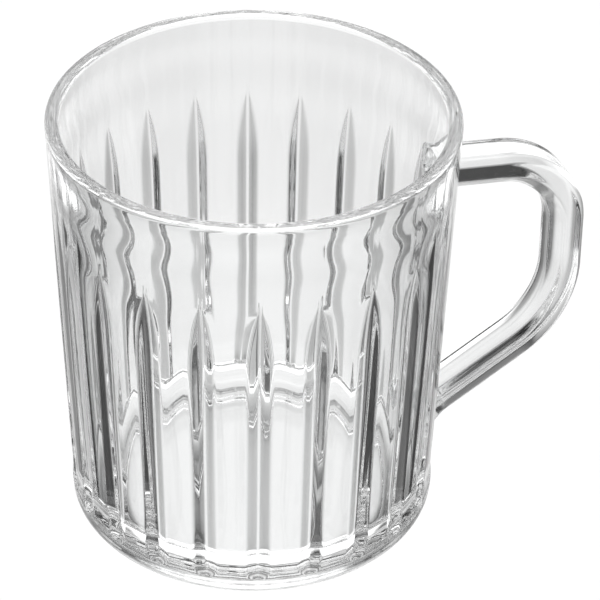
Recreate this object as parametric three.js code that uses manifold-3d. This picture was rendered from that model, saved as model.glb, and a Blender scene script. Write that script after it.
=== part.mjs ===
// Ribbed glass mug: a pressed cup with V-shaped flutes, and a handle welded to it at two lands.
// Millimetres, +Z up. The origin is on the cup's axis, in the plane that the foot stands on.
// The handle points along +X, with the middle of one panel behind it.
import * as THREE from "three";
import { mergeVertices } from "three/addons/utils/BufferGeometryUtils.js";
import Module from "manifold-3d";

const wasm = await Module();
wasm.setup();

// Cup
const CUP_HEIGHT = 90;
const RIM_DIAMETER = 80;
const FOOT_DIAMETER = 73; // where the line of the outer wall meets the standing plane
const RIM_THICKNESS = 2.8; // the rim is a full round of this width
const WALL_AT_FLOOR = 3.8;
const FLOOR_HEIGHT = 4.2; // inside floor above the standing plane
const INNER_CORNER_RADIUS = 7;
const HEEL_RADIUS = 4;
const FOOT_RING_WIDTH = 3;
const FOOT_RECESS = 0.9; // hollow under the base, inside the foot ring
const RECESS_SLOPE = 1.2; // width of the slope from the ring up to the recess

// Flutes and the flat panels between them
const FLUTE_COUNT = 22;
const FLUTE_WIDTH = 4.7;
const FLUTE_DEPTH = 1.4;
const FLUTE_ROOT = 0.5; // narrow flat along the bottom of the V
const FLUTE_RUNOUT = 16; // length of the pointed end, where the cut leaves the wall on an arc
const FLUTE_FOOT = 6; // height of the ledge that ends a flute
const LEDGE_FALL = 0.4; // drop of that ledge for each millimetre outwards
const PLAIN_BAND = 18.7; // smooth band from the rim to the tips of the flutes
const PANEL_FLATNESS = 0.37; // how far a panel's middle lies inside the round, at the foot

// Handle
const HANDLE_WIDTH = 9;
const HANDLE_THICKNESS = 7.2;
const HANDLE_CHAMFER = 2; // the section's corners are cut off by this much on each side
const FINGER_GAP = 23.8; // clear space from the wall to the grip, halfway up the grip
const UPPER_LAND_DROP = 20.1; // middle of the upper land below the rim
const LOWER_LAND_HEIGHT = 14.1; // middle of the lower land above the standing plane
const UPPER_ARM_FALL = THREE.MathUtils.degToRad(5);
const LOWER_ARM_RISE = THREE.MathUtils.degToRad(32);
const UPPER_BEND_RADIUS = 15;
const LOWER_BEND_RADIUS = 21;
const LAND_FLARE = 0.5; // each side of the section grows by this at a land
const LAND_LENGTH = 3; // length of the flare outside the wall
const WELD_GAP = 0.3; // the weld between a land and the wall

// Facets
const PITCH = (2 * Math.PI) / FLUTE_COUNT;
const ROUND_STEPS = FLUTE_COUNT * 4;
const ARC_STEPS = 6;
const RUNOUT_STEPS = 7;
const OVERCUT = 1; // how far a cutter passes the surface that it cuts
const MERGE_DISTANCE = 1e-4; // corners closer than this are one corner

const rimRadius = RIM_DIAMETER / 2;
const footRadius = FOOT_DIAMETER / 2;
const wallRadius = (z) => footRadius + ((rimRadius - footRadius) * z) / CUP_HEIGHT;
const heelCentre = wallRadius(HEEL_RADIUS) - HEEL_RADIUS;

// Solids from closed geometries, and back
function solidOf(geometry) {
  const bare = geometry.clone();
  bare.deleteAttribute("normal");
  bare.deleteAttribute("uv");
  const merged = mergeVertices(bare, MERGE_DISTANCE);
  const corners = merged.index.array;
  const triangles = [];
  for (let i = 0; i < corners.length; i += 3) {
    const [a, b, c] = corners.slice(i, i + 3);
    if (a !== b && b !== c && c !== a) triangles.push(a, b, c);
  }
  const mesh = new wasm.Mesh({
    numProp: 3,
    vertProperties: new Float32Array(merged.attributes.position.array),
    triVerts: new Uint32Array(triangles),
  });
  return new wasm.Manifold(mesh);
}

function geometryOf(solid) {
  const mesh = solid.getMesh();
  const geometry = new THREE.BufferGeometry();
  geometry.setAttribute("position", new THREE.BufferAttribute(mesh.vertProperties, 3));
  geometry.setIndex(new THREE.BufferAttribute(mesh.triVerts, 1));
  geometry.computeVertexNormals();
  return geometry;
}

// A profile of (radius, height) points turned about the axis, with facet corners on the flute lines
function turned(profile) {
  const lathe = new THREE.LatheGeometry(profile, ROUND_STEPS, Math.PI / 2, 2 * Math.PI);
  return solidOf(lathe.rotateX(Math.PI / 2));
}

// A closed skin over rings of equal count, each a convex section, with flat ends
function loft(rings) {
  const count = rings[0].length;
  const last = (rings.length - 1) * count;
  const index = [];
  for (let r = 0; r + 1 < rings.length; r += 1) {
    for (let i = 0; i < count; i += 1) {
      const a = r * count + i;
      const b = r * count + ((i + 1) % count);
      index.push(a, b, b + count, a, b + count, a + count);
    }
  }
  for (let i = 1; i + 1 < count; i += 1) {
    index.push(0, i + 1, i, last, last + i, last + i + 1);
  }
  const geometry = new THREE.BufferGeometry().setFromPoints(rings.flat());
  geometry.setIndex(index);
  return solidOf(geometry);
}

function arcPoints(centreX, centreZ, radius, from, to) {
  const arc = new THREE.EllipseCurve(centreX, centreZ, radius, radius, from, to, to < from);
  return arc.getPoints(ARC_STEPS);
}

// The rounded edge between the foot ring and the outer wall
function heelProfile() {
  return arcPoints(heelCentre, HEEL_RADIUS, HEEL_RADIUS, -Math.PI / 2, 0);
}

function cupProfile() {
  const ringInside = heelCentre - FOOT_RING_WIDTH;
  const rimBead = RIM_THICKNESS / 2;
  const rimCentre = rimRadius - rimBead;
  const innerWall = wallRadius(FLOOR_HEIGHT) - WALL_AT_FLOOR;
  const cornerCentre = innerWall - INNER_CORNER_RADIUS;
  return [
    new THREE.Vector2(0, FOOT_RECESS),
    new THREE.Vector2(ringInside - RECESS_SLOPE, FOOT_RECESS),
    new THREE.Vector2(ringInside, 0),
    ...heelProfile(),
    ...arcPoints(rimCentre, CUP_HEIGHT - rimBead, rimBead, 0, Math.PI),
    ...arcPoints(cornerCentre, FLOOR_HEIGHT + INNER_CORNER_RADIUS, INNER_CORNER_RADIUS, 0, -Math.PI / 2),
    new THREE.Vector2(0, FLOOR_HEIGHT),
  ];
}

// A tapered prism whose sides are the flat panels; they run out into the round at the flute tips
function panelPrism(clearance) {
  const tip = CUP_HEIGHT - PLAIN_BAND;
  const apothemAtFoot = footRadius - PANEL_FLATNESS + clearance;
  const spread = (wallRadius(tip) + clearance - apothemAtFoot) / tip;
  const cornerRadius = (z) => (apothemAtFoot + spread * z) / Math.cos(PITCH / 2);
  const low = -OVERCUT;
  const high = CUP_HEIGHT + OVERCUT;
  const start = Math.PI / 2 + PITCH / 2;
  const prism = new THREE.CylinderGeometry(
    cornerRadius(high), cornerRadius(low), high - low, FLUTE_COUNT, 1, false, start);
  return solidOf(prism.rotateX(Math.PI / 2).translate(0, 0, (low + high) / 2));
}

// One flute cutter on the +X side: a V section that climbs along the wall and then leaves it on an arc
function fluteCutter() {
  const tip = CUP_HEIGHT - PLAIN_BAND;
  const straightTop = tip - FLUTE_RUNOUT;
  const rootHalf = FLUTE_ROOT / 2;
  const flank = (FLUTE_WIDTH / 2 - rootHalf) / FLUTE_DEPTH;
  const reach = FLUTE_DEPTH + OVERCUT;
  const section = (z, lift, fall) => {
    const root = wallRadius(z) - FLUTE_DEPTH + lift;
    const mouthHalf = rootHalf + flank * reach;
    return [
      new THREE.Vector3(root, -rootHalf, z),
      new THREE.Vector3(root + reach, -mouthHalf, z - fall * reach),
      new THREE.Vector3(root + reach, mouthHalf, z - fall * reach),
      new THREE.Vector3(root, rootHalf, z),
    ];
  };
  const rings = [section(FLUTE_FOOT, 0, LEDGE_FALL)];
  const end = Math.sqrt(1 + OVERCUT / FLUTE_DEPTH);
  for (let i = 0; i <= RUNOUT_STEPS; i += 1) {
    const share = (end * i) / RUNOUT_STEPS;
    rings.push(section(straightTop + share * FLUTE_RUNOUT, FLUTE_DEPTH * share * share, 0));
  }
  return loft(rings);
}

function cupBody() {
  const cutter = fluteCutter();
  let body = turned(cupProfile()).intersect(panelPrism(0));
  for (let i = 0; i < FLUTE_COUNT; i += 1) {
    const angle = THREE.MathUtils.radToDeg((i + 0.5) * PITCH);
    body = body.subtract(cutter.rotate([0, 0, angle]));
  }
  return body;
}

// The handle's centre line in the XZ plane: upper arm, bend, grip, bend, lower arm
function handlePath() {
  const upperZ = CUP_HEIGHT - UPPER_LAND_DROP;
  const upperX = wallRadius(upperZ);
  const lowerX = wallRadius(LOWER_LAND_HEIGHT);
  const gripX = wallRadius((upperZ + LOWER_LAND_HEIGHT) / 2) + FINGER_GAP + HANDLE_THICKNESS / 2;
  const upperCorner = new THREE.Vector2(gripX, upperZ - (gripX - upperX) * Math.tan(UPPER_ARM_FALL));
  const lowerCorner = new THREE.Vector2(
    gripX, LOWER_LAND_HEIGHT + (gripX - lowerX) * Math.tan(LOWER_ARM_RISE));
  const upperTurn = Math.PI / 2 - UPPER_ARM_FALL;
  const lowerTurn = Math.PI / 2 - LOWER_ARM_RISE;
  const upperBendZ = upperCorner.y - UPPER_BEND_RADIUS * Math.tan(upperTurn / 2);
  const lowerBendZ = lowerCorner.y + LOWER_BEND_RADIUS * Math.tan(lowerTurn / 2);
  const path = new THREE.Path();
  path.moveTo(upperX - OVERCUT, upperZ + OVERCUT * Math.tan(UPPER_ARM_FALL));
  path.lineTo(
    gripX - UPPER_BEND_RADIUS * (1 - Math.cos(upperTurn)),
    upperBendZ + UPPER_BEND_RADIUS * Math.sin(upperTurn));
  path.absarc(gripX - UPPER_BEND_RADIUS, upperBendZ, UPPER_BEND_RADIUS, upperTurn, 0, true);
  path.absarc(gripX - LOWER_BEND_RADIUS, lowerBendZ, LOWER_BEND_RADIUS, 0, -lowerTurn, true);
  path.lineTo(lowerX - OVERCUT, LOWER_LAND_HEIGHT - OVERCUT * Math.tan(LOWER_ARM_RISE));
  return path;
}

// Corner points of the handle's eight-sided section, across (Y) and through its thickness, grown by a flare
function handleSection(flare) {
  const halfWidth = HANDLE_WIDTH / 2 + flare;
  const halfThickness = HANDLE_THICKNESS / 2 + flare;
  const points = [];
  for (const [acrossSide, throughSide] of [[1, 1], [-1, 1], [-1, -1], [1, -1]]) {
    const onSide = [acrossSide * halfWidth, throughSide * (halfThickness - HANDLE_CHAMFER)];
    const onFace = [acrossSide * (halfWidth - HANDLE_CHAMFER), throughSide * halfThickness];
    points.push(...(acrossSide === throughSide ? [onSide, onFace] : [onFace, onSide]));
  }
  return points;
}

function handleRings() {
  const path = handlePath();
  const length = path.getLength();
  const landSpan = OVERCUT + LAND_LENGTH;
  const stops = [];
  for (let i = 0; i <= ARC_STEPS; i += 1) stops.push((landSpan * i) / ARC_STEPS);
  const gripSteps = ARC_STEPS * 4;
  for (let i = 1; i < gripSteps; i += 1) {
    stops.push(landSpan + ((length - 2 * landSpan) * i) / gripSteps);
  }
  for (let i = ARC_STEPS; i >= 0; i -= 1) stops.push(length - (landSpan * i) / ARC_STEPS);
  return stops.map((stop) => {
    const point = path.getPointAt(stop / length);
    const along = path.getTangentAt(stop / length);
    const toEnd = Math.min(stop, length - stop);
    const share = Math.max(0, 1 - toEnd / landSpan);
    return handleSection(LAND_FLARE * share * share).map(([across, through]) => new THREE.Vector3(
      point.x - through * along.y, across, point.y + through * along.x));
  });
}

// The cup's outside as one solid, grown by the weld gap, which trims the lands to the wall
function weldEnvelope() {
  const grow = (point) => new THREE.Vector2(point.x + WELD_GAP, point.y);
  const profile = [
    new THREE.Vector2(0, 0),
    ...heelProfile().map(grow),
    new THREE.Vector2(rimRadius + WELD_GAP, CUP_HEIGHT),
    new THREE.Vector2(0, CUP_HEIGHT),
  ];
  return turned(profile).intersect(panelPrism(WELD_GAP));
}

const glass = () => new THREE.MeshStandardMaterial({
  color: 0xeef2f2,
  roughness: 0.03,
  metalness: 0,
  transparent: true,
  opacity: 0.35,
});

function piece(name, solid) {
  const mesh = new THREE.Mesh(geometryOf(solid), glass());
  mesh.name = name;
  return mesh;
}

const mug = new THREE.Group();
mug.name = "ribbed_glass_mug";
mug.add(piece("cup_body", cupBody()));
mug.add(piece("handle", loft(handleRings()).subtract(weldEnvelope())));

export default mug;
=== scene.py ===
# Ribbed glass mug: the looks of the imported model. Metres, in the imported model's frame.
import math
import bmesh
import bpy
from mathutils import Matrix, Vector


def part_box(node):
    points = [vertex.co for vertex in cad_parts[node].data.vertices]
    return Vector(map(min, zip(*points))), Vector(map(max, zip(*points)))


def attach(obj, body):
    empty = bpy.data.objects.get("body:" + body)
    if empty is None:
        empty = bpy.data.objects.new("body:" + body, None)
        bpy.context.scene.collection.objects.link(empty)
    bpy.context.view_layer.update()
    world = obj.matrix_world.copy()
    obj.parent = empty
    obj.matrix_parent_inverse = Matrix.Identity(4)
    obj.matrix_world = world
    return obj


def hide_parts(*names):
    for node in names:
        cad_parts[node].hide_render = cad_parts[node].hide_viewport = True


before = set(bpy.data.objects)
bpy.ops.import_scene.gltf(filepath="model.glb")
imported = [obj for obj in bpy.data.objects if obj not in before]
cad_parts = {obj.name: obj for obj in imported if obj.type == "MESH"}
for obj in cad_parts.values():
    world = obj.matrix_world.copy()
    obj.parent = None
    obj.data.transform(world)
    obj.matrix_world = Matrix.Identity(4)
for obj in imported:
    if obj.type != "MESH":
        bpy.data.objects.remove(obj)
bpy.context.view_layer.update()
_, cup_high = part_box("cup_body")
_, handle_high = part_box("handle")

MM = 0.001

# Cup
CUP_HEIGHT = cup_high.z
RIM_RADIUS = cup_high.y
FOOT_RADIUS = 36.5 * MM
RIM_BEAD = 1.4 * MM
WALL_AT_FLOOR = 3.8 * MM
FLOOR_HEIGHT = 4.2 * MM
INNER_CORNER = 7 * MM
HEEL_RADIUS = 4 * MM
FOOT_RING_WIDTH = 3 * MM
FOOT_RECESS = 0.9 * MM
RECESS_SLOPE = 1.2 * MM
BASE_DOME = 1.5 * MM
FLOOR_RISE = 1.2 * MM

# Neck of the cup's inside: pairs of the drop below the rim bead and the swell outward, both in mm
NECK = ((0, 0), (1.8, 0.15), (10, -0.1), (13, -0.07), (23, -0.26), (60, 0))
NECK_REACH = NECK[-1][0] * MM

# Flutes and the flat panels between them
FLUTE_COUNT = 22
FLUTE_DEPTH = 1.4 * MM
ROOT_HALF = 0.25 * MM
MOUTH_HALF = 2.35 * MM
FLANK = (MOUTH_HALF - ROOT_HALF) / FLUTE_DEPTH
FLUTE_TIP = CUP_HEIGHT - 18.7 * MM
FLUTE_RUNOUT = 16 * MM
FLUTE_FOOT = 5 * MM
SCOOP = 2 * MM
MOUTH_ROUND = 0.45 * MM
ROOT_ROUND = 0.15 * MM
PANEL_FLATNESS = 0.37 * MM
PANEL_BLEND = 0.08 * MM
LEAST_LAYOUT_DEPTH = 0.15 * MM

# Handle
HANDLE_WIDTH = 9 * MM
HANDLE_THICKNESS = 7.2 * MM
OUTER_BEVEL = 1.2 * MM
INNER_BEVEL = 2.6 * MM
HANDLE_EDGE = 0.5 * MM
UPPER_LAND = CUP_HEIGHT - 20.1 * MM
LOWER_LAND = 14.1 * MM
UPPER_ARM_FALL = math.radians(5)
LOWER_ARM_RISE = math.radians(32)
UPPER_BEND = 15 * MM
LOWER_BEND = 21 * MM
LAND_FLARE = 0.5 * MM
LAND_LENGTH = 3 * MM
WELD_DEPTH = 1.0 * MM

# Mesh rows and columns
BASE_STEPS = 12
HEEL_STEPS = 14
SCOOP_STEPS = 12
WALL_STEPS = 10
RUNOUT_STEPS = 26
BAND_STEPS = 8
RIM_STEPS = 18
NECK_STEPS = 42
INSIDE_STEPS = 8
CORNER_STEPS = 14
FLOOR_STEPS = 12
CENTRE_SHARE = 0.05
PANEL_STEPS = 6
UPPER_ARM_STEPS = 24
UPPER_BEND_STEPS = 28
GRIP_STEPS = 8
LOWER_BEND_STEPS = 30
LOWER_ARM_STEPS = 36
EDGE_STEPS = 4
EDGE_SUPPORT = 1.5
LEAST_GAP = 1e-7
SHARP_ANGLE = math.radians(32)

# Glass; the tint is the share of light that each crossing of a surface leaves
CUP_TINT = (0.97, 0.974, 0.974)
HANDLE_TINT = (0.94, 0.945, 0.945)
GLASS_IOR = 1.52
WAVE_SCALE = 70
WAVE_DETAIL = 2
WAVE_STRENGTH = 0.35
WAVE_HEIGHT = 0.03 * MM
POLISH_SCALE = 900
POLISH_DETAIL = 3
POLISH_RANGE = (0.55, 0.8)
ROUGHEST = 0.03
BOUNCES = 128

# Camera, fitted to the photograph's outlines
VIEW_AZIMUTH = math.radians(-18.4)
VIEW_ELEVATION = math.radians(35.12)
VIEW_DISTANCE = 0.66
VIEW_ROLL = math.radians(0.92)
LENS = 199.6
SENSOR = 36
CLIP_START = 0.01
AIM_RIGHT = 9.34 * MM
AIM_UP = 1.03 * MM

# Floor
FLOOR_SIZE = 5.0
FLOOR_DROP = 0.02 * MM
FLOOR_HAZE = 0.06
HAZE_COLOUR = (0.95, 0.95, 0.95, 1)

# Studio; each pair is where a fade starts and ends, in degrees of height or round from behind
SHEET_FADE = (0, 65)
SHEET_GLOW = 1.08
LOW_SHEET = (-22, -14)
SHEET_SLOPE = (-38, -31)
SHEET_TOP = 0.84
HIGH_SHEET = (20, 30)
HIGH_SHEET_GLOW = 0.95
PALE_LOW = (-24, -13)
PALE_HIGH = (22, 30)
PALE_GLOW = 0.75
BACK_FADE = (40, 70)
BACK_DIM = (-16, -8)
BACK_LOW_GLOW = 0.5
BACK_GLOW = 0.05
SIDE_LOW = (-32, -27)
SIDE_END = (86, 98)
FRONT_LOW = (-23, -18)
FRONT_FLOOR = (-38, -34)
FRONT_FADE = (142, 156)
FRONT_GLOW = 0.5
BELOW_FADE = (-57, -46)
BELOW_GLOW = 1.6
ABOVE_FADE = (50, 64)
ABOVE_GLOW = 1.6
BACKDROP_GLOW = 1.05

PITCH = 2 * math.pi / FLUTE_COUNT
HEEL_CENTRE = FOOT_RADIUS + (RIM_RADIUS - FOOT_RADIUS) * HEEL_RADIUS / CUP_HEIGHT - HEEL_RADIUS


def spread(low, high, steps):
    """Evenly spaced values from low to high, both included."""
    return [low + (high - low) * i / steps for i in range(steps + 1)]


def arc(centre_r, centre_z, radius, start, end, steps):
    """Points (radius, height) along an arc in the profile plane."""
    points = []
    for angle in spread(start, end, steps):
        points.append((centre_r + radius * math.cos(angle), centre_z + radius * math.sin(angle)))
    return points


def soft_min(a, b, blend):
    """The lesser of two values, with the corner between them rounded off."""
    share = max(blend - abs(a - b), 0.0) / blend
    return min(a, b) - share * share * blend / 4


def wall_radius(z):
    return FOOT_RADIUS + (RIM_RADIUS - FOOT_RADIUS) * z / CUP_HEIGHT


def panel_apothem(z):
    """Distance from the axis to a flat panel's middle; it reaches the round wall at the flute tips."""
    low = FOOT_RADIUS - PANEL_FLATNESS
    return low + (wall_radius(FLUTE_TIP) - low) * z / FLUTE_TIP


def cut_share(z):
    """Share of their depth that panels and flutes have: they end on a round scoop above the foot."""
    share = min(max((z - FLUTE_FOOT) / SCOOP, 0.0), 1.0)
    return math.sqrt(1 - (1 - share) ** 2)


def outside(round_r, z, angle):
    """Radius of the cup's outside without flutes; panel middles lie on whole pitches, from +X."""
    from_middle = (angle + PITCH / 2) % PITCH - PITCH / 2
    flat = soft_min(round_r, panel_apothem(z) / math.cos(from_middle), PANEL_BLEND)
    return round_r + (flat - round_r) * cut_share(z)


def neck(drop):
    """How far the inside lies out from an even wall, at a drop below the rim bead."""
    for (start, first), (end, last) in zip(NECK, NECK[1:]):
        if drop < end * MM:
            share = (drop / MM - start) / (end - start)
            return (first + (last - first) * share * share * (3 - 2 * share)) * MM
    return 0.0


def flute_depth(z):
    """Depth of a flute's root: a scoop at the foot, and an arc from the run-out up to the tip."""
    share = (z - (FLUTE_TIP - FLUTE_RUNOUT)) / FLUTE_RUNOUT
    return FLUTE_DEPTH * (1 - min(max(share, 0.0), 1.0) ** 2) * cut_share(z)


def flute_rounds(depth):
    """How far the rounding reaches to each side of the mouth's edge and of the root's edge."""
    flank_width = depth * FLANK
    return min(MOUTH_ROUND, flank_width / 2), min(ROOT_ROUND, flank_width / 4)


def depth_across(x, depth):
    """Depth of the flute's surface at a distance from its middle."""
    x = abs(x)
    mouth = ROOT_HALF + depth * FLANK
    mouth_round, root_round = flute_rounds(depth)
    if depth <= 0 or x >= mouth + mouth_round:
        return 0.0
    if x > mouth - mouth_round:
        return (mouth + mouth_round - x) ** 2 / (4 * mouth_round * FLANK)
    if x > ROOT_HALF + root_round:
        return depth - (x - ROOT_HALF) / FLANK
    if x > ROOT_HALF - root_round:
        return depth - (x - ROOT_HALF + root_round) ** 2 / (4 * root_round * FLANK)
    return depth


def flute_columns(depth):
    """Distances of the mesh columns from the flute's middle, on one side of it."""
    laid = max(depth, LEAST_LAYOUT_DEPTH)
    mouth = ROOT_HALF + laid * FLANK
    mouth_round, root_round = flute_rounds(laid)
    columns = spread(ROOT_HALF - root_round, ROOT_HALF + root_round, 2)
    columns.append((ROOT_HALF + root_round + mouth - mouth_round) / 2)
    columns += spread(mouth - mouth_round, mouth + mouth_round, 4)
    return columns


def sector_columns(z):
    """(angle from the flute's middle, distance from it or None) for one sector's columns, in order."""
    half = flute_columns(flute_depth(z))
    across = [-x for x in reversed(half)] + [0.0] + half
    radius = wall_radius(z)
    columns = [(x / radius, x) for x in across]
    edge = half[-1] / radius
    for angle in spread(edge, PITCH - edge, PANEL_STEPS)[1:-1]:
        columns.append((angle, None))
    return columns


def cup_row(round_r, z, layout_z):
    """One ring of the cup's outside, with its columns where they lie at the layout's height."""
    depth = flute_depth(z)
    columns = sector_columns(layout_z)
    points = []
    for sector in range(FLUTE_COUNT):
        middle = (sector + 0.5) * PITCH
        for turn, x in columns:
            angle = middle + turn
            sunk = depth_across(x, depth) if x is not None else 0.0
            radius = outside(round_r, z, angle) - sunk
            points.append((radius * math.cos(angle), radius * math.sin(angle), z))
    return points


def round_row(radius, z):
    """One plain ring, with its columns where the plain band of the cup has them."""
    points = []
    for sector in range(FLUTE_COUNT):
        for turn, _ in sector_columns(CUP_HEIGHT):
            angle = (sector + 0.5) * PITCH + turn
            points.append((radius * math.cos(angle), radius * math.sin(angle), z))
    return points


def cup_rows():
    """All rings of the cup, from the base's middle round foot, wall, rim and inside to the floor."""
    ring_inside = HEEL_CENTRE - FOOT_RING_WIDTH
    recess_edge = ring_inside - RECESS_SLOPE
    rows = []
    base = []
    for share in spread(CENTRE_SHARE, 1, BASE_STEPS):
        base.append((recess_edge * share, FOOT_RECESS + BASE_DOME * (1 - share ** 2)))
    base += [(ring_inside, 0.0), (ring_inside + FOOT_RING_WIDTH / 2, 0.0)]
    heel = arc(HEEL_CENTRE, HEEL_RADIUS, HEEL_RADIUS, -math.pi / 2, 0, HEEL_STEPS)
    for radius, z in base + heel:
        rows.append(cup_row(radius, z, FLUTE_FOOT))
    straight_top = FLUTE_TIP - FLUTE_RUNOUT
    heights = []
    for turn in spread(0, math.pi / 2, SCOOP_STEPS):
        heights.append(FLUTE_FOOT + SCOOP * (1 - math.cos(turn)))
    heights += spread(FLUTE_FOOT + SCOOP, straight_top, WALL_STEPS)[1:]
    heights += spread(straight_top, FLUTE_TIP, RUNOUT_STEPS)[1:]
    for z in heights:
        rows.append(cup_row(wall_radius(z), z, z))
    rim_z = CUP_HEIGHT - RIM_BEAD
    for z in spread(FLUTE_TIP, rim_z, BAND_STEPS)[1:-1]:
        rows.append(cup_row(wall_radius(z), z, z))
    inner_wall = wall_radius(FLOOR_HEIGHT) - WALL_AT_FLOOR
    corner_r = inner_wall - INNER_CORNER
    corner_z = FLOOR_HEIGHT + INNER_CORNER
    rim = arc(RIM_RADIUS - RIM_BEAD, rim_z, RIM_BEAD, 0, math.pi, RIM_STEPS)
    inner_top = RIM_RADIUS - 2 * RIM_BEAD
    inside = []
    depth = rim_z - corner_z
    drops = spread(0, NECK_REACH, NECK_STEPS)[1:] + spread(NECK_REACH, depth, INSIDE_STEPS)[1:-1]
    for drop in drops:
        radius = inner_top + (inner_wall - inner_top) * drop / depth
        inside.append((radius + neck(drop), rim_z - drop))
    corner = arc(corner_r, corner_z, INNER_CORNER, 0, -math.pi / 2, CORNER_STEPS)
    floor = []
    for share in spread(1 - CENTRE_SHARE, CENTRE_SHARE, FLOOR_STEPS):
        floor.append((corner_r * share, FLOOR_HEIGHT + FLOOR_RISE * (1 - share ** 2) ** 2))
    for radius, z in rim + inside + corner + floor:
        rows.append(round_row(radius, z))
    return rows


def skin(name, rows, start, end):
    """A closed mesh over rings of equal count; each end closes on one point."""
    mesh = bmesh.new()
    rings = [[mesh.verts.new(point) for point in row] for row in rows]
    count = len(rows[0])
    for low, high in zip(rings, rings[1:]):
        for i in range(count):
            j = (i + 1) % count
            mesh.faces.new((low[i], low[j], high[j], high[i]))
    first = mesh.verts.new(start)
    last = mesh.verts.new(end)
    for i in range(count):
        j = (i + 1) % count
        mesh.faces.new((first, rings[0][j], rings[0][i]))
        mesh.faces.new((last, rings[-1][i], rings[-1][j]))
    bmesh.ops.remove_doubles(mesh, verts=mesh.verts, dist=LEAST_GAP)
    bmesh.ops.recalc_face_normals(mesh, faces=mesh.faces)
    data = bpy.data.meshes.new(name)
    mesh.to_mesh(data)
    mesh.free()
    data.shade_smooth()
    data.set_sharp_from_angle(angle=SHARP_ANGLE)
    piece = bpy.data.objects.new(name, data)
    bpy.context.scene.collection.objects.link(piece)
    return piece


def handle_path():
    """The handle's centre line in the XZ plane, as (point, direction) pairs from the upper land down."""
    grip_x = handle_high.x - HANDLE_THICKNESS / 2
    upper_x = wall_radius(UPPER_LAND)
    lower_x = wall_radius(LOWER_LAND)
    upper_corner = UPPER_LAND - (grip_x - upper_x) * math.tan(UPPER_ARM_FALL)
    lower_corner = LOWER_LAND + (grip_x - lower_x) * math.tan(LOWER_ARM_RISE)
    upper_turn = math.pi / 2 - UPPER_ARM_FALL
    lower_turn = math.pi / 2 - LOWER_ARM_RISE
    upper_z = upper_corner - UPPER_BEND * math.tan(upper_turn / 2)
    lower_z = lower_corner + LOWER_BEND * math.tan(lower_turn / 2)
    upper_start = (upper_x - WELD_DEPTH, UPPER_LAND + WELD_DEPTH * math.tan(UPPER_ARM_FALL))
    lower_end = (lower_x - WELD_DEPTH, LOWER_LAND - WELD_DEPTH * math.tan(LOWER_ARM_RISE))
    upper_arc = arc(grip_x - UPPER_BEND, upper_z, UPPER_BEND, upper_turn, 0, UPPER_BEND_STEPS)
    lower_arc = arc(grip_x - LOWER_BEND, lower_z, LOWER_BEND, 0, -lower_turn, LOWER_BEND_STEPS)
    corners = [upper_start, upper_arc[0], upper_arc[-1], lower_arc[0], lower_arc[-1], lower_end]

    def line(start, end, steps):
        return [
            (start[0] + (end[0] - start[0]) * t, start[1] + (end[1] - start[1]) * t)
            for t in spread(0, 1, steps)
        ]

    points = line(corners[0], corners[1], UPPER_ARM_STEPS)[:-1] + upper_arc
    points += line(corners[2], corners[3], GRIP_STEPS)[1:-1] + lower_arc
    points += line(corners[4], corners[5], LOWER_ARM_STEPS)[1:]
    path = []
    for i, (x, z) in enumerate(points):
        before = points[max(i - 1, 0)]
        after = points[min(i + 1, len(points) - 1)]
        along = Vector((after[0] - before[0], after[1] - before[1])).normalized()
        path.append((Vector((x, z)), along))
    return path


def handle_section(flare):
    """Points of the handle's eight-sided section, (across, through), grown by the flare at a land."""
    half_width = HANDLE_WIDTH / 2 + flare
    half_thickness = HANDLE_THICKNESS / 2 + flare
    corners = []
    for side, face in ((1, 1), (-1, 1), (-1, -1), (1, -1)):
        bevel = OUTER_BEVEL if face > 0 else INNER_BEVEL
        on_side = Vector((side * half_width, face * (half_thickness - bevel)))
        on_face = Vector((side * (half_width - bevel), face * half_thickness))
        corners += [on_side, on_face] if side == face else [on_face, on_side]
    points = []
    for i, corner in enumerate(corners):
        back = (corners[i - 1] - corner).normalized() * HANDLE_EDGE
        on = (corners[(i + 1) % len(corners)] - corner).normalized() * HANDLE_EDGE
        points.append(corner + EDGE_SUPPORT * back)
        for t in spread(0, 1, EDGE_STEPS):
            points.append(corner + back * (1 - t) ** 2 + on * t ** 2)
        points.append(corner + EDGE_SUPPORT * on)
    return points


def handle_rows():
    """The handle's sections along its centre line, flared where they meet the cup."""
    path = handle_path()
    lengths = [0.0]
    for (a, _), (b, _) in zip(path, path[1:]):
        lengths.append(lengths[-1] + (b - a).length)
    span = WELD_DEPTH + LAND_LENGTH
    rows = []
    for (point, along), length in zip(path, lengths):
        to_end = min(length, lengths[-1] - length)
        share = max(0.0, 1 - to_end / span)
        row = []
        for across, through in handle_section(LAND_FLARE * share ** 2):
            row.append((point.x - through * along.y, across, point.y + through * along.x))
        rows.append(row)
    return rows


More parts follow.
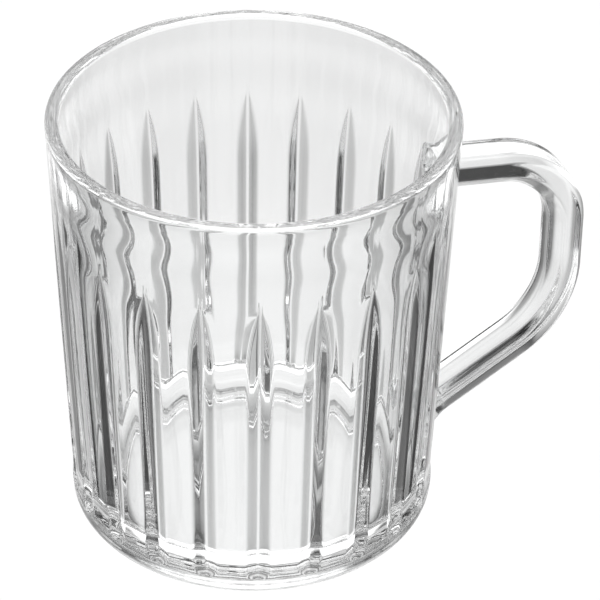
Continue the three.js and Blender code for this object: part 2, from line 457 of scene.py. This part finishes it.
def glass(name, tint):
    """Clear pressed glass: faint waves left by the mould, and a polish that is not quite even."""
    material = bpy.data.materials.new(name)
    material.use_nodes = True
    nodes = material.node_tree.nodes
    links = material.node_tree.links
    shader = nodes["Principled BSDF"]
    shader.inputs["Base Color"].default_value = (*tint, 1)
    shader.inputs["IOR"].default_value = GLASS_IOR
    shader.inputs["Transmission Weight"].default_value = 1.0
    place = nodes.new("ShaderNodeTexCoord")
    waves = nodes.new("ShaderNodeTexNoise")
    waves.inputs["Scale"].default_value = WAVE_SCALE
    waves.inputs["Detail"].default_value = WAVE_DETAIL
    bump = nodes.new("ShaderNodeBump")
    bump.inputs["Strength"].default_value = WAVE_STRENGTH
    bump.inputs["Distance"].default_value = WAVE_HEIGHT
    links.new(place.outputs["Object"], waves.inputs["Vector"])
    links.new(waves.outputs["Fac"], bump.inputs["Height"])
    links.new(bump.outputs["Normal"], shader.inputs["Normal"])
    polish = nodes.new("ShaderNodeTexNoise")
    polish.inputs["Scale"].default_value = POLISH_SCALE
    polish.inputs["Detail"].default_value = POLISH_DETAIL
    grade = nodes.new("ShaderNodeMapRange")
    grade.inputs["From Min"].default_value = POLISH_RANGE[0]
    grade.inputs["From Max"].default_value = POLISH_RANGE[1]
    grade.inputs["To Min"].default_value = 0.0
    grade.inputs["To Max"].default_value = ROUGHEST
    links.new(place.outputs["Object"], polish.inputs["Vector"])
    links.new(polish.outputs["Fac"], grade.inputs["Value"])
    links.new(grade.outputs["Result"], shader.inputs["Roughness"])
    return material


def dress(piece, material, node):
    """Gives a piece its glass, hangs it on the root body and hides the solid that it stands for."""
    piece.data.materials.append(material)
    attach(piece, "root")
    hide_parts(node)


def make_floor():
    """A clear table: the light from below comes through it, and a faint haze takes the soft shadow."""
    half = FLOOR_SIZE / 2
    data = bpy.data.meshes.new("floor")
    corners = [(-half, -half, 0), (half, -half, 0), (half, half, 0), (-half, half, 0)]
    data.from_pydata(corners, [], [(0, 1, 2, 3)])
    floor = bpy.data.objects.new("floor", data)
    bpy.context.scene.collection.objects.link(floor)
    floor.location.z = -FLOOR_DROP
    material = bpy.data.materials.new("floor")
    material.use_nodes = True
    nodes = material.node_tree.nodes
    links = material.node_tree.links
    nodes.remove(nodes["Principled BSDF"])
    clear = nodes.new("ShaderNodeBsdfTransparent")
    haze = nodes.new("ShaderNodeBsdfDiffuse")
    haze.inputs["Color"].default_value = HAZE_COLOUR
    mix = nodes.new("ShaderNodeMixShader")
    mix.inputs["Fac"].default_value = FLOOR_HAZE
    links.new(clear.outputs["BSDF"], mix.inputs[1])
    links.new(haze.outputs["BSDF"], mix.inputs[2])
    links.new(mix.outputs["Shader"], nodes["Material Output"].inputs["Surface"])
    data.materials.append(material)


def make_world():
    """The studio, as brightness by direction: a bright sheet behind the mug, dark cloths beside it,
    pale walls, a light table below and a light overhead. Only the glass sees the cloths: past the
    mug the backdrop shows white from every side."""
    world = bpy.data.worlds.new("studio")
    bpy.context.scene.world = world
    world.use_nodes = True
    nodes = world.node_tree.nodes
    links = world.node_tree.links

    def reckon(operation, *values):
        """The result of a sum over other nodes' values."""
        node = nodes.new("ShaderNodeMath")
        node.operation = operation
        for socket, value in zip(node.inputs, values):
            links.new(value, socket)
        return node.outputs["Value"]

    def grade(value, start, end, first, last):
        """A smooth fade from the first value to the last, between two angles in degrees."""
        node = nodes.new("ShaderNodeMapRange")
        node.interpolation_type = "SMOOTHSTEP"
        node.inputs["From Min"].default_value = math.radians(start)
        node.inputs["From Max"].default_value = math.radians(end)
        node.inputs["To Min"].default_value = first
        node.inputs["To Max"].default_value = last
        links.new(value, node.inputs["Value"])
        return node.outputs["Result"]

    place = nodes.new("ShaderNodeTexCoord")
    turned = nodes.new("ShaderNodeVectorRotate")
    turned.rotation_type = "Z_AXIS"
    turned.inputs["Angle"].default_value = -VIEW_AZIMUTH
    links.new(place.outputs["Generated"], turned.inputs["Vector"])
    parts = nodes.new("ShaderNodeSeparateXYZ")
    links.new(turned.outputs["Vector"], parts.inputs["Vector"])
    height = reckon("ARCSINE", parts.outputs["Z"])
    aside = reckon("ABSOLUTE", reckon("ARCTAN2", parts.outputs["X"], parts.outputs["Y"]))
    low_sheet = reckon(
        "MULTIPLY", grade(height, *LOW_SHEET, SHEET_GLOW, 0), grade(height, *SHEET_SLOPE, 1, SHEET_TOP))
    high_sheet = grade(height, *HIGH_SHEET, 0, HIGH_SHEET_GLOW)
    sheet = reckon("MULTIPLY", grade(aside, *SHEET_FADE, 1, 0), reckon("MAXIMUM", low_sheet, high_sheet))
    back = grade(height, *BACK_DIM, BACK_LOW_GLOW, BACK_GLOW)
    behind = reckon("MULTIPLY", back, grade(aside, *BACK_FADE, 1, 0))
    behind = reckon("MULTIPLY", behind, grade(height, *PALE_LOW, 0, 1))
    beside = reckon("MULTIPLY", grade(height, *SIDE_LOW, 0, PALE_GLOW), grade(aside, *BACK_FADE, 0, 1))
    beside = reckon("MULTIPLY", beside, grade(aside, *SIDE_END, 1, 0))
    before = reckon(
        "MAXIMUM", grade(height, *FRONT_LOW, 0, PALE_GLOW), grade(height, *FRONT_FLOOR, FRONT_GLOW, 0))
    before = reckon("MULTIPLY", before, grade(aside, *SIDE_END, 0, 1))
    before = reckon("MAXIMUM", before, grade(aside, *FRONT_FADE, 0, FRONT_GLOW))
    pale = reckon("MAXIMUM", behind, reckon("MAXIMUM", beside, before))
    pale = reckon("MULTIPLY", pale, grade(height, *PALE_HIGH, 1, 0))
    below = grade(height, *BELOW_FADE, BELOW_GLOW, 0)
    above = grade(height, *ABOVE_FADE, 0, ABOVE_GLOW)
    rays = nodes.new("ShaderNodeLightPath")
    backdrop = nodes.new("ShaderNodeMath")
    backdrop.operation = "MULTIPLY"
    links.new(rays.outputs["Is Camera Ray"], backdrop.inputs[0])
    backdrop.inputs[1].default_value = BACKDROP_GLOW
    brightness = sheet
    for part in (pale, below, above, backdrop.outputs["Value"]):
        brightness = reckon("MAXIMUM", brightness, part)
    links.new(brightness, nodes["Background"].inputs["Strength"])
    nodes["Background"].inputs["Color"].default_value = (1, 1, 1, 1)


def make_camera():
    """The photograph's view: aimed a little off the cup's middle, so that no shift is needed."""
    data = bpy.data.cameras.new("camera")
    data.lens = LENS
    data.sensor_width = SENSOR
    data.clip_start = CLIP_START
    camera = bpy.data.objects.new("camera", data)
    bpy.context.scene.collection.objects.link(camera)
    flat = math.cos(VIEW_ELEVATION)
    back = Vector((
        math.sin(VIEW_AZIMUTH) * flat, -math.cos(VIEW_AZIMUTH) * flat, math.sin(VIEW_ELEVATION)))
    middle = Vector((0, 0, CUP_HEIGHT / 2))
    roll = Matrix.Rotation(VIEW_ROLL, 4, "Z")
    turn = (-back).to_track_quat("-Z", "Y").to_matrix().to_4x4() @ roll
    place = middle + VIEW_DISTANCE * back
    aim = middle + turn.to_3x3() @ Vector((AIM_RIGHT, AIM_UP, 0))
    look = (aim - place).to_track_quat("-Z", "Y").to_matrix().to_4x4() @ roll
    camera.matrix_world = Matrix.Translation(place) @ look
    bpy.context.scene.camera = camera


def main():
    make_camera()
    underside = (0, 0, FOOT_RECESS + BASE_DOME)
    cup = skin("cup", cup_rows(), underside, (0, 0, FLOOR_HEIGHT + FLOOR_RISE))
    dress(cup, glass("cup_glass", CUP_TINT), "cup_body")
    rows = handle_rows()
    ends = [sum((Vector(point) for point in row), Vector()) / len(row) for row in (rows[0], rows[-1])]
    handle = skin("handle_loop", rows, ends[0], ends[1])
    dress(handle, glass("handle_glass", HANDLE_TINT), "handle")
    make_floor()
    make_world()
    scene = bpy.context.scene
    scene.view_settings.view_transform = "Standard"
    scene.cycles.max_bounces = BOUNCES
    scene.cycles.transmission_bounces = BOUNCES
    scene.cycles.glossy_bounces = BOUNCES


main()
